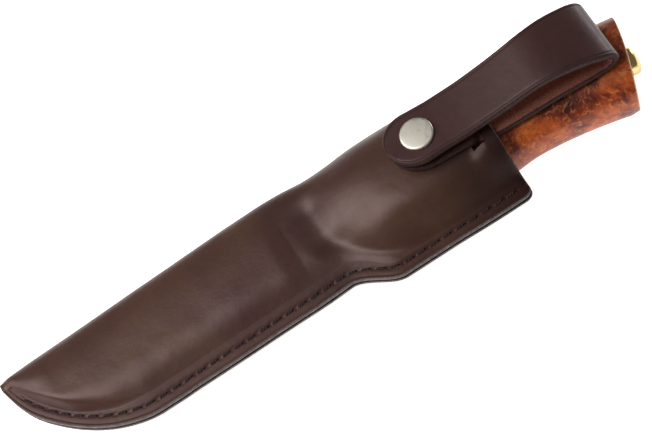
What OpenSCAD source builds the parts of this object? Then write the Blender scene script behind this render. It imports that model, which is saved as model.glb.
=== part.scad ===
// Whittling knife in a folded leather belt sheath. Millimetres, +Z up.
// The parts are drawn in the knife's own frame: X runs from the sheath's tip to the
// knife's butt, Y from the stitched flange to the fold, Z = 0 is the middle of the
// blade's thickness. at_rest() then lays the whole thing down: the tip dips until the
// tip and the belly of the handle pocket both touch the ground, and the origin is on
// the ground in the middle of the pressed-flat spot under the handle pocket.
// In names, _t is a thickness, _h a half height, _r a radius and _d a diameter.

/* [Sheath] */
// Thickness of the sheath leather
leather_t = 2.4; // [2.2:0.1:2.6]
// Thickness of the welt between the two flange layers
welt_t = 1.6; // [1.4:0.1:1.8]
// Where the open mouth stands along the knife
mouth_x = 68.5; // [67:0.5:69.5]
// Outer face of the fold, from the tang line
fold_y = 16; // [15.8:0.1:16.6]
// Flange edge beside the blade, from the tang line
blade_edge_y = 28.1; // [27.6:0.1:29]
// Flange edge beside the handle, from the tang line
grip_edge_y = 37.1; // [36.6:0.1:38]
// Half the height of the sheath over the blade liner
hump_h = 6.8; // [6.8:0.1:7.4]
// Half the height of the sheath over the handle, at the mouth
grip_h = 15.3; // [15.3:0.1:16]
// Distance from one stitch hole to the next
stitch_pitch = 5.3; // [4.8:0.1:6]
// Stitch line, in from the flange edge
stitch_inset = 3.3; // [3:0.1:3.4]
// Thread thickness
thread_d = 0.9; // [0.7:0.1:1]

/* [Knife] */
// Blade length in front of the bolster
blade_len = 118; // [110:1:119]
// Blade thickness at the spine
blade_t = 3; // [2.4:0.1:3.2]
// Height of the bevel above the cutting edge
bevel_w = 9; // [6:0.5:12]
// Half the thickness of the handle at its butt
butt_h = 12.8; // [12.4:0.1:12.8]
// Height of the domed end of the handle
butt_dome = 2.4; // [2:0.1:4]
// Diameter of the pommel nut
nut_d = 10.5; // [9:0.25:11]

/* [Strap] */
// Thickness of the belt strap
strap_t = 2.85; // [2.6:0.05:2.9]
// Half the width of the strap at the snap
strap_w = 10.5; // [9.5:0.25:11]
// Centre of the strap's fold along the knife
fold_x = 113; // [110:0.5:114]
// Height of the gap a belt passes through, at the fold
loop_gap = 8.9; // [8:0.1:11]

/* [Snap] */
// Diameter of the snap's cap
cap_d = 12.5; // [11:0.25:13.5]
// Snap position along the knife
snap_x = 45.3; // [43:0.1:48]
// Snap position across the knife
snap_y = -5.9; // [-7:0.1:-5]

/* [Rest] */
// How far the tip dips below the butt when the sheath lies down, degrees
rest_tilt = 3.6; // [3.4:0.1:3.8]
// How deep the belly of the pocket is pressed flat by the ground
rest_press = 0.3; // [0.2:0.05:0.4]

/* [Hidden] */
$fn = 48;
flange_mid = welt_t / 2 + leather_t / 2;    // middle of the leather at the flange
flange_top = welt_t / 2 + leather_t;        // outer face of the flange
tip_x = -128.3;                     // extreme of the tip curve
tip_start_x = -82;                  // where the tip curve starts
tip_y = 15.5;
tip_power = 1.7;                    // superellipse exponent of the tip curve
valley_h = 5.2;                     // half height between liner and handle
bolster_x = 7;                      // face of the bolster toward the blade
bolster_len = 5;
butt_x = 120.2;                     // rim of the butt, on the tang line
slit_x0 = 58.8;                     // slit the strap dives through
slit_x1 = 63.6;
slit_width_x = 61.5;                // where the strap's width sets the slit's
upper_z = 9;                        // inside the pocket, below the upper leather
pocket_gap = 0.55;                  // between handle and leather
pocket_h = grip_h - leather_t - pocket_gap; // half the handle's height at the mouth

// Shaping functions --------------------------------------------------------------
function clamp01(v) = min(1, max(0, v));
function smooth(v) = let (c = clamp01(v)) c * c * (3 - 2 * c);
// smooth step from 0 to 1 that starts at `from` and takes `length`
function ramp(x, from, length) = smooth((x - from) / length);
function mix(a, b, t) = a + (b - a) * t;
// quarter circle, from 1 at t = 0 to 0 at t = 1
function arc(t) = sqrt(1 - pow(clamp01(t), 2));
// sine or cosine bent for a superellipse
function super(v, power) = sign(v) * pow(abs(v), 2 / power);
function flatten(lists) = [for (l = lists) each l];

// Outline of the sheath ----------------------------------------------------------
function edge_y(x) = x < tip_start_x
    ? tip_y - (tip_y + blade_edge_y)
        * pow(max(0, 1 - pow((tip_start_x - x) / (tip_start_x - tip_x), tip_power)), 1 / tip_power)
    : -blade_edge_y - (grip_edge_y - blade_edge_y) * ramp(x, -3, 19)
        + 3.5 * (1 - arc((x - mouth_x + 3.5) / 3.7));       // corner at the mouth
function edge_slope(x) = (edge_y(x + 0.05) - edge_y(x - 0.05)) / 0.1;
// a line parallel to the flange edge, set in by `inset`
function inset_y(x, inset) =
    edge_y(x) + inset * sqrt(1 + pow(edge_slope(min(x, mouth_x - 4)), 2));
// outer face of the fold: wider beside the blade, a swell at the bolster, narrower
// toward the mouth, rounded at the tip
function fold_out(x) = fold_y
    + 2.5 * clamp01((x + 128) / 97) * (1 - ramp(x, -17, 22))
    + 0.9 * exp(-pow((x + 3) / 9, 2))
    - 1.4 * ramp(x, 22, 36)
    - 3.2 * (1 - arc((-120 - x) / 8.6));
// station on the tip curve, from `margin` inside the tip at 0 degrees to its start at 90
function tip_station(margin, angle) =
    tip_start_x - (tip_start_x - tip_x - margin) * sin(90 - angle);

// Half height of the outside of the sheath. The bulge over the handle starts at a crease
// that swings toward the butt near the flange, and fades near the fold.
function hump_top(x) = flange_top + 0.02 + (hump_h - flange_top) * ramp(x, -127.5, 17);
function grip_top(x) = 13.2 + (grip_h - 13.2) * ramp(x, 4, 36);
function crease_x(y) = -1 + 0.2 * pow(max(0, -1 - y), 1.25);
function bulge(x, y) = mix(
    1 - pow(1 - pow(clamp01((x - crease_x(y)) / 12), 1.35), 2.6),
    ramp(x, -7, 22), ramp(y, 1, 11));
function top_h(x, y = -3) = x < -8
    ? hump_top(x) - (hump_h - valley_h) * ramp(x, -17.5, 5.5)
    : valley_h + (grip_top(x) - valley_h) * bulge(x, y);

// Section of the leather, as its middle line from the flange edge to the fold ----
rise_count = 9;                     // points from the gutter up to the crown
round_count = 9;                    // points from the crown round to the fold
half_count = 3 + rise_count + round_count;
// highest line of the pocket
function crown_y(x) = x < -80
    ? max(-2, fold_out(x) - leather_t / 2 - mix(2, 18, ramp(x, -127, 20)))
    : mix(-2, -8, ramp(x, -10, 20));
// foot of the pocket, where the flat flange ends
function gutter_y(x) = min(
    inset_y(x, 4.6 + 2.9 * ramp(x, -98, 14) - 2.9 * ramp(x, -5, 20)),
    crown_y(x) - 0.6);
// raised bridge of leather over the strap, between the slit and the mouth
function bridge(x, y, z) =
    mix(z, max(z, 17.4 * ramp(y, -26, 5) * smooth((11 - y) / 5)), ramp(x, 60, 2.8));
// points [y, z]; the top half carries the bridge
function half_line(x, top) =
    let (edge = edge_y(x), gutter = gutter_y(x), crown = crown_y(x),
         fold = fold_out(x) - leather_t / 2, half_t = leather_t / 2,
         over_grip = ramp(x, -4, 12),
         foot_power = mix(1.5, 1.35, over_grip),
         crown_power = mix(3.6, 4, over_grip),
         fold_power = mix(2.25, 2.6, over_grip),
         line = concat(
            [[edge, flange_mid], [(edge + gutter) / 2, flange_mid], [gutter, flange_mid]],
            [for (i = [1:rise_count])
                let (u = pow(i / rise_count, 1.25), y = mix(gutter, crown, u),
                     rise = 1 - pow(1 - pow(u, foot_power), crown_power))
                [y, flange_mid + (top_h(x, y) - half_t - flange_mid) * rise]],
            [for (i = [1:round_count])
                let (angle = 90 - 90 * i / round_count,
                     y = crown + (fold - crown) * pow(cos(angle), 2 / fold_power))
                [y, i == round_count ? 0
                    : (top_h(x, y) - half_t) * pow(sin(angle), 2 / fold_power)]]))
    [for (p = line) [p[0], top ? bridge(x, p[0], p[1]) : p[1]]];
function full_line(x) =
    let (upper = half_line(x, true), lower = half_line(x, false))
    concat(upper, [for (i = [half_count - 2:-1:0]) [lower[i][0], -lower[i][1]]]);
// moves the middle line by `shift`, square to itself; positive is outward
function offset_line(line, shift) = [for (i = [0:len(line) - 1])
    let (last = len(line) - 1,
         along = i <= 2 ? [1, 0]
            : i >= last - 2 ? [-1, 0]
            : i == half_count - 1 ? [0, -1]
            : line[i + 1] - line[i - 1],
         size = norm(along))
    [line[i][0] - along[1] / size * shift, line[i][1] + along[0] / size * shift]];
// one skin of the leather, at every station
function skin(shift) = [for (x = shell_x)
    [for (p = offset_line(full_line(x), shift)) [x, p[0], p[1]]]];

shell_x = concat(
    [for (i = [0:11]) tip_station(0.7, 7.5 * i)],
    [for (i = [1:7]) mix(tip_start_x, -24, i / 8)],
    [for (i = [0:9]) -24 + 2.6 * i],
    [for (i = [0:8]) 1 + 2 * i],
    [for (i = [1:5]) 17 + 8 * i],
    [for (i = [0:4]) 59 + 1.05 * i],
    [for (i = [0:4]) mouth_x - 4 + i]);

// Solids from points -------------------------------------------------------------
function quad(a, b, c, d) = [[a, b, c], [a, c, d]];
// a closed body through rings of points, all the same length
module loft(rings) {
    size = len(rings[0]);
    last = (len(rings) - 1) * size;
    polyhedron(points = flatten(rings), faces = concat(
        [[for (i = [0:size - 1]) i]],
        [for (row = [0:size:last - size]) for (i = [0:size - 1])
            let (j = (i + 1) % size, next = row + size)
            each quad(row + i, next + i, next + j, row + j)],
        [[for (i = [size - 1:-1:0]) last + i]]), convexity = 6);
}
// a sheet with an outer and an inner skin, open along its two long edges
module sheet(outer, inner) {
    size = len(outer[0]);
    under = len(outer) * size;      // index of the inner skin's first point
    last = under - size;
    rows = [0:size:last - size];
    polyhedron(points = concat(flatten(outer), flatten(inner)), faces = concat(
        [for (row = rows) for (i = [0:size - 2]) let (a = row + i, b = a + size)
            each quad(a, b, b + 1, a + 1)],
        [for (row = rows) for (i = [0:size - 2]) let (a = under + row + i, b = a + size)
            each quad(a, a + 1, b + 1, b)],
        [for (a = rows) let (b = a + size)
            each quad(a, under + a, under + b, b)],
        [for (row = rows) let (a = row + size - 1, b = a + size)
            each quad(a, b, under + b, under + a)],
        [for (i = [0:size - 2])
            each quad(i, i + 1, under + i + 1, under + i)],
        [for (i = [0:size - 2]) let (a = last + i)
            each quad(a, under + a, under + a + 1, a + 1)]), convexity = 10);
}
// superellipse section across the knife
function oval(x, center_y, half_w, half_h, power, count = 32) =
    [for (i = [0:count - 1]) let (angle = 360 * i / count)
        [x, center_y + half_w * super(cos(angle), power), half_h * super(sin(angle), power)]];

// Lies the knife and sheath down on the ground -----------------------------------
belly_x = [for (x = [20:1:66]) x];
belly = [for (x = belly_x) top_h(x) * cos(rest_tilt) - x * sin(rest_tilt)];
belly_max = max(belly);
rest_x = [for (i = [0:len(belly) - 1]) if (belly[i] == belly_max) belly_x[i]][0];
rest_y = -8;
lift_z = belly_max - rest_press;
shift_x = rest_x * cos(rest_tilt) + top_h(rest_x) * sin(rest_tilt);
module at_rest() {
    translate([-shift_x, -rest_y, lift_z]) rotate([0, -rest_tilt, 0]) children();
}

// Sheath -------------------------------------------------------------------------
module sheath_shell() {
    slit_h = strap_half(slit_width_x) + 0.6;
    color([0.24, 0.17, 0.15])
    difference() {
        at_rest() difference() {
            sheet(skin(leather_t / 2), skin(-leather_t / 2));
            // slit for the strap
            translate([slit_x0, strap_y(slit_width_x) - slit_h, upper_z])
                cube([slit_x1 - slit_x0, 2 * slit_h, 14]);
            // rivet hole and the sunk seat of its head, inside the panel
            snap_hole(upper_z);
            translate([snap_x, snap_y, top_h(snap_x) - leather_t - 1])
                cylinder(r = 4.7, h = 1.75);
        }
        // the ground, which presses the belly flat
        translate([-250, -100, -40]) cube([500, 200, 40]);
    }
}

welt_in = 5.6;                      // inner edge of the welt, in from the flange edge
welt_x = concat(
    [for (i = [1:11]) tip_station(1.2, 7.5 * i)],
    [-50, -20],
    [for (i = [0:11]) -5 + 2 * i],
    [40],
    [for (back = [3.5, 2.5, 1.5, 0.6]) mouth_x - back]);
module welt() {
    color([0.30, 0.24, 0.21]) at_rest()
    translate([0, 0, -welt_t / 2]) linear_extrude(welt_t) polygon(concat(
        [for (x = welt_x) [x, edge_y(x) + 0.15]],
        [for (i = [len(welt_x) - 1:-1:0]) let (x = welt_x[i])
            [x, min(inset_y(x, welt_in), fold_out(x) - 4.9)]]));
}

// rigid liner: a cup over the blade, open toward the handle
liner_end = -17.5;
liner_t = 1.2;
// each is a distance `inset` inside the liner's outer face
function liner_low(x, inset) = max(-17, inset_y(max(x - 2, -122.5), 7.2)) + inset;
function liner_high(x, inset) = fold_out(max(x, -119)) - leather_t - 0.4 - inset;
function liner_ring(x, inset) =
    let (low = liner_low(x, inset), high = liner_high(x, inset),
         half_h = (top_h(min(x, -21)) - leather_t - 0.2) * mix(0.55, 1, ramp(x, -116, 14))
            - inset,
         center_y = max(crown_y(x), (low + high) / 2),
         power = inset > 0 ? 2.3 : 2.05)
    [for (i = [0:31])
        let (angle = 11.25 * i, across = cos(angle),
             half_w = across > 0 ? high - center_y : center_y - low)
        [x, center_y + half_w * super(across, power), half_h * super(sin(angle), power)]];
function liner_x(start, t) = mix(start, liner_end, pow(t, 1.3));
module blade_liner() {
    color([0.13, 0.13, 0.14]) at_rest() loft(concat(
        [for (i = [0:11]) liner_ring(liner_x(-115.5, i / 11), 0)],
        [for (i = [9:-1:0]) liner_ring(liner_x(-113.6, i / 9), liner_t)]));
}

// stitches: short runs of thread on both faces of the flange
stitch_margin = 0.5;                // left free at each end of the seam
stitch_gap = 0.45;                  // from a stitch hole to the thread's end
seam_x = concat(
    [for (i = [0:60]) tip_station(4.1, 1.5 * i)],
    [for (x = [-80:1:mouth_x - 2]) x]);
seam = [for (x = seam_x) [x, inset_y(x, stitch_inset)]];
// distances along the seam, up to point `last`
function seam_lengths(last) = last == 0 ? [0]
    : let (before = seam_lengths(last - 1))
      concat(before, [before[last - 1] + norm(seam[last] - seam[last - 1])]);
seam_at = seam_lengths(len(seam) - 1);
function seam_point(dist) =
    let (i = max([for (k = [0:len(seam_at) - 2]) if (seam_at[k] <= dist) k]))
    mix(seam[i], seam[i + 1], (dist - seam_at[i]) / (seam_at[i + 1] - seam_at[i]));
stitch_count = floor((seam_at[len(seam_at) - 1] - 2 * stitch_margin) / stitch_pitch);
module seam_stitches() {
    color([0.12, 0.09, 0.08]) at_rest()
    for (i = [0:stitch_count - 1])
        let (start = seam_point(stitch_margin + i * stitch_pitch),
             run = seam_point(stitch_margin + (i + 1) * stitch_pitch) - start)
        for (side = [0, 1])
            translate([start[0], start[1], 0])
            rotate([0, 0, atan2(run[1], run[0])]) mirror([0, 0, side])
            translate([stitch_gap, 0, flange_top + thread_d / 2])
            rotate([0, 90, 0]) rotate([0, 0, 22.5])
                cylinder(d = thread_d * 0.99, h = norm(run) - 2 * stitch_gap, $fn = 8);
}

// Belt strap ---------------------------------------------------------------------
under_z = 13.1;                     // underside of the strap over the handle
bend_r = loop_gap / 2 + strap_t / 2;        // middle of the strap's fold
bend_z = under_z + strap_t + loop_gap / 2;
patch_r = strap_w + 1.4;            // round end of the patch under the snap
patch_x = snap_x - patch_r;
patch_z = top_h(59) + 0.1;          // underside of the patch
snap_z = patch_z + strap_t;         // top of the patch at the snap
flap_x = patch_x - 0.6;             // round end of the flap
flap_z = snap_z + 2.4;              // underside of the flap at the snap
flap_mid = flap_z + strap_t / 2;
flap_rise_x = snap_x + 8;           // where the flap starts to rise toward the fold

// centre line and half widths of the strap
function strap_y(x) = snap_y - 0.0456 * (x - snap_x);
function strap_half(x) = strap_w + 0.0256 * (x - snap_x);
function flap_half(x) = strap_w - 0.5
    + (x > 66 ? 2.15 * pow((x - 66) / 47, 2) : 0.5 * pow((66 - x) / 21, 2));
// middle of the strap's thickness, below and above the belt gap
function under_mid(x) = mix(patch_z, under_z, ramp(x, 59.6, 3.8)) + strap_t / 2;
function flap_line(x) = x < flap_rise_x ? flap_mid
    : let (u = (x - flap_rise_x) / (fold_x - flap_rise_x),
           ease = u < 0.25 ? mix(0.6, 1, u * 4) : 1)
      mix(flap_mid, bend_z + bend_r, u * (1.6 - 0.6 * u) * ease);
function slope_angle(before, after) = atan((after - before) / 0.2);
// narrowing of a round end of radius r that starts at `start`, and its stations
function tongue(x, start, r) = arc((start + r - x) / r);
function tongue_x(start, reach) = [for (i = [0:7]) start + 0.4 + reach * (1 - cos(i * 90 / 7))];
// strap section with chamfered corners, leaning by `lean` degrees
function strap_ring(x, z, lean, center_y, w) =
    let (bevel = 0.5, t = strap_t / 2,
         corners = [[w, t - bevel], [w - bevel, t], [-w + bevel, t], [-w, t - bevel],
                    [-w, -t + bevel], [-w + bevel, -t], [w - bevel, -t], [w, -t + bevel]])
    [for (p = corners) [x - p[1] * sin(lean), center_y + p[0], z + p[1] * cos(lean)]];

module snap_hole(z) {
    translate([snap_x, snap_y, z]) cylinder(r = 2.05, h = 10);
}
module strap_anchor() {
    stations = concat(tongue_x(patch_x, strap_w),
        [54, 58.5], [for (i = [0:9]) 59.6 + 0.43 * i], [72, 90, fold_x]);
    color([0.28, 0.19, 0.16]) at_rest() difference() {
        loft([for (x = stations)
            let (lean = x > fold_x - 1 ? 0 : slope_angle(under_mid(x - 0.1), under_mid(x + 0.1)))
            strap_ring(x, under_mid(x), lean, strap_y(x),
                strap_half(x) * tongue(x, patch_x, patch_r))]);
        snap_hole(12);
    }
}
module strap_fold() {
    color([0.27, 0.18, 0.15]) at_rest()
    loft([for (i = [0:12]) let (angle = -90 + 15 * i)
        strap_ring(fold_x + bend_r * cos(angle), bend_z + bend_r * sin(angle), angle + 90,
            strap_y(fold_x), mix(strap_half(fold_x), flap_half(fold_x), i / 12))]);
}
module strap_flap() {
    stations = concat(tongue_x(flap_x, strap_w + 1),
        [for (i = [0:10]) mix(flap_rise_x, fold_x, i / 10)]);
    color([0.25, 0.17, 0.14]) at_rest() difference() {
        loft([for (x = stations)
            let (lean = x > fold_x - 1 || x < flap_rise_x ? 0
                    : slope_angle(flap_line(x - 0.1), flap_line(x + 0.1)))
            strap_ring(x, flap_line(x), lean, strap_y(x),
                flap_half(x) * tongue(x, flap_x, strap_w + 1.6))]);
        snap_hole(18);
    }
}

// Snap fastener: turned profiles of [radius, height] -----------------------------
module at_snap(z) {
    at_rest() translate([snap_x, snap_y, z]) children();
}
module snap_post() {
    head_z = top_h(snap_x) - leather_t;
    end_z = snap_z + 0.5;
    color([0.70, 0.66, 0.58]) at_snap(0) rotate_extrude() polygon([
        [0, head_z + 0.02], [4.2, head_z + 0.02], [4.6, head_z + 0.35],
        [4.6, head_z + 0.72], [2, head_z + 0.72], [2, end_z], [0, end_z]]);
}
module snap_stud() {
    color([0.72, 0.68, 0.60]) at_snap(snap_z) rotate_extrude() polygon([
        [2.02, 0], [5.2, 0], [5.2, 0.35], [4.9, 0.6], [2.45, 0.6], [2.3, 0.75],
        [2.5, 1.1], [2.5, 1.35], [2.2, 1.6], [0, 1.6], [0, 0.52], [2.02, 0.52]]);
}
module snap_socket() {
    color([0.70, 0.66, 0.58]) at_snap(snap_z) rotate_extrude() polygon([
        [2.05, 2.4], [5.3, 2.4], [5.5, 2.2], [5.5, 0.95], [5.2, 0.7],
        [2.9, 0.7], [2.9, 0.85], [3.4, 0.9], [3.4, 2.0], [2.05, 2.0]]);
}
module snap_spring() {
    color([0.62, 0.62, 0.62]) at_snap(snap_z + 1.25)
    rotate_extrude() translate([3.06, 0]) circle(r = 0.28, $fn = 16);
}
module snap_cap() {
    z = flap_z + strap_t;
    r = cap_d / 2;
    color([0.78, 0.74, 0.66]) at_snap(0) rotate_extrude() polygon(concat(
        [[0, flap_z - 0.6], [2.7, flap_z - 0.6], [2.7, flap_z - 0.42], [2, flap_z - 0.42],
         [2, z], [r - 0.15, z], [r, z + 0.2], [r, z + 0.45]],
        [for (i = [0:6]) let (angle = i * 15)
            [r - 1.1 + 1.1 * cos(angle), z + 0.45 + 0.75 * sin(angle)]],
        [[r * 0.5, z + 1.32], [0, z + 1.38]]));
}

// Blade and tang -----------------------------------------------------------------
spine_y = 11.6;
edge_line_y = -14.2;                // straight part of the cutting edge
blade_tip = bolster_x - blade_len;
spine_drop_len = 40;                // the spine drops over this length at the tip
edge_curve_len = 46;                // the edge curves up over this length
function blade_top(x) =
    spine_y - 3 * pow(clamp01((blade_tip + spine_drop_len - x) / spine_drop_len), 2);
function blade_low(x) = mix(blade_top(x) - 0.8, edge_line_y,
    arc((blade_tip + edge_curve_len - x) / edge_curve_len));
function blade_ring(x) =
    let (top = blade_top(x), low = blade_low(x),
         bevel_y = low + min(bevel_w, (top - low) * 0.6),
         half_t = blade_t / 2 * mix(0.35, 1, ramp(x, blade_tip, 12)))
    [[x, top, half_t], [x, bevel_y, half_t], [x, low, 0.06],
     [x, low, -0.06], [x, bevel_y, -half_t], [x, top, -half_t]];

tang_slope = -0.126;                // the tang leans down toward the butt
function tang_y(x) = tang_slope * x;
// tapering outline; `halves` are its half widths at the start, at x = 60 and at the end
function tang_outline(start, end, halves) = [
    [start, tang_y(3) + halves[0]], [60, tang_y(60) + halves[1]], [end, tang_y(end) + halves[2]],
    [end, tang_y(end) - halves[2]], [60, tang_y(60) - halves[1]], [start, tang_y(3) - halves[0]]];
tang_angle = atan(tang_slope);
seat_dist = butt_x / cos(tang_angle) + butt_dome;   // nut's seat, along the tang line
tang_end = seat_dist + 1.9;
// stands children up along the tang line, `dist` from the origin
module tang_line(dist) {
    rotate([0, 0, tang_angle]) translate([dist, 0, 0]) rotate([0, 90, 0]) children();
}
module blade() {
    stations = concat([for (i = [0:10]) blade_tip + edge_curve_len * (1 - cos(i * 9))],
        [-30, bolster_x - 0.02]);
    color([0.72, 0.73, 0.75]) at_rest() {
        loft([for (x = stations) blade_ring(x)]);
        // stick tang, then its round end
        translate([0, 0, -blade_t * 0.43]) linear_extrude(blade_t * 0.86)
            polygon(tang_outline(bolster_x - 3, 104, [6.8, 5, 3.2]));
        tang_line(100) cylinder(r = 2.5, h = tang_end - 100);
    }
}

// Bolster, handle and nut --------------------------------------------------------
module bolster() {
    slot_w = 14.7;
    color([0.76, 0.60, 0.32]) at_rest() difference() {
        // [distance from the blade-side face, rounding of the rim]
        loft([for (p = [[0, 1], [0.5, 0], [bolster_len - 0.01, 0]])
            oval(bolster_x + p[0], -2.4, 13.9 - p[1] + p[0] * 0.1,
                6.9 - p[1] + p[0] * 0.14, 2.4)]);
        translate([bolster_x - 1, tang_y(bolster_x + 3) - slot_w / 2, -blade_t * 0.45])
            cube([bolster_len + 2, slot_w, blade_t * 0.9]);
    }
}

handle_x = bolster_x + bolster_len;
butt_inset = 2.2;                   // rounding of the butt's rim, inward
butt_rise = 1.5;                    // and along the knife
// sides of the handle toward the fold and toward the flange
function grip_high(x) = 11.8 - 0.085 * (x - handle_x) + 1.2 * ramp(x, 90, 28);
function grip_low(x) = -17.1 - 2.6 * ramp(x, handle_x, 14) - 6.2 * ramp(x, handle_x, 52)
    + 0.75 * ramp(x, 62, 18) - 7.6 * pow(clamp01((x - 79) / 38), 1.6);
function grip_half(x) = x < mouth_x
    ? mix(7.2, pocket_h, pow(ramp(x, handle_x - 8, 56), 0.8))
    : pocket_h - 0.7 * ramp(x, mouth_x, 14) + (butt_h - pocket_h + 0.7) * ramp(x, 84, 34);
// lean: how far the section leans over, so that the butt ends square to the handle's sweep
function grip_ring(x, inset = 0, rise = 0, lean = 0.23) =
    let (high = grip_high(x), low = grip_low(x), shear = lean * ramp(x, 40, 60))
    [for (p = oval(x, (high + low) / 2, (high - low) / 2 - inset,
                   grip_half(x) - inset * 0.78, 2.35, 40))
        [p[0] + rise + shear * (p[1] - tang_y(x)), p[1], p[2]]];
module handle() {
    stations = concat([for (i = [0:9]) mix(handle_x, mouth_x, i / 10)],
        [for (i = [0:9]) mix(mouth_x, butt_x, i / 9)]);
    color([0.55, 0.25, 0.13]) at_rest() difference() {
        loft(concat(
            [for (x = stations) grip_ring(x)],
            // rounded rim, then the dome
            [for (angle = [20:17.5:90])
                grip_ring(butt_x, butt_inset * (1 - cos(angle)), butt_rise * sin(angle))],
            [for (k = [0.35, 0.7, 1])
                grip_ring(butt_x, mix(butt_inset, 9.6, k),
                    mix(butt_rise, butt_dome, 1 - pow(1 - k, 1.7)),
                    mix(0.23, -tang_slope, k))]));
        // slot for the tang, and the hole for its round end
        translate([0, 0, -blade_t * 0.46]) linear_extrude(blade_t * 0.92)
            polygon(tang_outline(bolster_x, 105, [7.4, 5.4, 3.5]));
        tang_line(99) cylinder(r = 2.7, h = 60);
    }
}

module pommel_nut() {
    r = nut_d / 2;
    rim_h = 0.9;
    color([0.80, 0.64, 0.34]) at_rest() tang_line(seat_dist) difference() {
        rotate_extrude() polygon(concat([[0, 0.01], [r, 0.01], [r, rim_h]],
            [for (i = [1:8]) let (angle = i * 11.25) [r * cos(angle), rim_h + 2.3 * sin(angle)]]));
        translate([0, 0, -1]) cylinder(r = 2.52, h = 3);
    }
}

sheath_shell();
welt();
blade_liner();
seam_stitches();
strap_anchor();
strap_fold();
strap_flap();
snap_post();
snap_stud();
snap_socket();
snap_spring();
snap_cap();
blade();
bolster();
handle();
pommel_nut();
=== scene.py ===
"""A fixed-blade knife in its stitched leather sheath, held by a looped snap strap.

Shapes are set out in the knife's own frame, in millimetres: X from the sheath's tip to
the butt, Y from the stitched flange to the fold, Z = 0 in the middle of the blade.
world() lays that frame on the ground with the tip dipped.
"""

import math

import bpy
import numpy as np
from mathutils import Matrix, Vector

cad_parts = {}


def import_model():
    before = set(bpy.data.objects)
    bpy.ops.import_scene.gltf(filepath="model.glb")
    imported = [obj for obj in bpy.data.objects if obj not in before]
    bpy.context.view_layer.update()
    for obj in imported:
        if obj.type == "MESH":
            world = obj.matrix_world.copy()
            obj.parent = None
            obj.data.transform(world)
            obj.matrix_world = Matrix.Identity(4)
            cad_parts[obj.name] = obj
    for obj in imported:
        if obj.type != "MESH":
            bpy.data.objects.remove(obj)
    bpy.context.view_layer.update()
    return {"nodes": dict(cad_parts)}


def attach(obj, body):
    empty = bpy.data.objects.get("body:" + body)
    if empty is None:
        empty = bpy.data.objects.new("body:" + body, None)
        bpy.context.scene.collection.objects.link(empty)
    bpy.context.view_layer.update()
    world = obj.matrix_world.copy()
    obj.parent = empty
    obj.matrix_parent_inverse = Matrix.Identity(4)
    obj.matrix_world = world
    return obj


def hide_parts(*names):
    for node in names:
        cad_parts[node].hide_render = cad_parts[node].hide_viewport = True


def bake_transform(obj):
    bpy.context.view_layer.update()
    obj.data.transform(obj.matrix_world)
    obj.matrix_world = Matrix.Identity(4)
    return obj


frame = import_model()

# ---------------------------------------------------------------------------
# Driving dimensions, mm
# ---------------------------------------------------------------------------
# sheath
T_LEATHER = 2.4
T_WELT = 1.6
MOUTH = 68.5  # x of the open end
MOUTH_ROUND = 0.6
FOLD_Y = 16.0
BLADE_EDGE = 28.1  # flange edge below y = 0, along the blade
GRIP_EDGE = 37.1  # and along the handle
HUMP_H = 6.8  # top of the leather over the blade
VALLEY_H = 5.2  # in the hollow before the handle
GRIP_H = 15.3  # over the handle
TIP_X, TIP_CX, TIP_CY, TIP_POWER = -128.3, -82.0, 15.5, 1.7
FLANGE_MID = T_WELT / 2 + T_LEATHER / 2
FLANGE_TOP = T_WELT / 2 + T_LEATHER
STITCH_PITCH = 5.3
STITCH_INSET = 3.3
SLIT_X0, SLIT_X1 = 58.8, 63.6

# knife
BLADE_LEN = 118.0
BLADE_T = 3.0
BEVEL = 9.0
SPINE_Y = 11.6
BOLSTER_X, BOLSTER_L = 7.0, 5.0
GRIP_X = BOLSTER_X + BOLSTER_L
GRIP_GAP = 0.55  # between handle and leather
BUTT_X, BUTT_H, BUTT_DOME = 120.2, 12.8, 2.4
NUT_D = 10.5
TANG_SLOPE = -0.126

# strap and snap
STRAP_T = 2.85
STRAP_HALF = 10.5  # half width at the snap
SNAP_X, SNAP_Y = 45.3, -5.9
CAP_D = 12.5
FOLD_X = 113.0
UNDER_Z = 13.1  # underside of the strap over the handle

# placement
TILT = 3.6
PRESS = 0.3  # how far the leather settles into the ground
REST_Y = -8.0


def clip01(v):
    return np.clip(v, 0.0, 1.0)


def smooth(v):
    c = clip01(v)
    return c * c * (3 - 2 * c)


def mix(a, b, t):
    return a + (b - a) * t


def ease(t, toe=0.07):
    """0 to 1 with a short rounded toe"""
    return clip01((np.sqrt((t - 0.02) ** 2 + toe * toe) + t - 0.02) / 2 - toe * toe * 0.2)


def value_noise(points, scale, seed=0):
    """Seeded value noise on points in mm, about -1..1."""
    q = np.asarray(points, float) / scale + seed * 17.31
    i = np.floor(q).astype(np.int64)
    f = q - i
    f = f * f * (3 - 2 * f)
    out = 0.0
    for dx in (0, 1):
        for dy in (0, 1):
            for dz in (0, 1):
                h = (
                    (i[..., 0] + dx) * 73856093
                    ^ (i[..., 1] + dy) * 19349663
                    ^ (i[..., 2] + dz) * 83492791
                    ^ (seed * 2654435761)
                ) & 0xFFFFFFFF
                h = (h ^ (h >> 13)) * 1274126177 & 0xFFFFFFFF
                value = ((h ^ (h >> 16)) & 0xFFFF) / 32767.5 - 1
                weight = (
                    (f[..., 0] if dx else 1 - f[..., 0])
                    * (f[..., 1] if dy else 1 - f[..., 1])
                    * (f[..., 2] if dz else 1 - f[..., 2])
                )
                out = out + value * weight
    return out


def noise_along(x, scale, seed):
    return value_noise(np.stack([x, x * 0, x * 0], -1), scale, seed)


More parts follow.
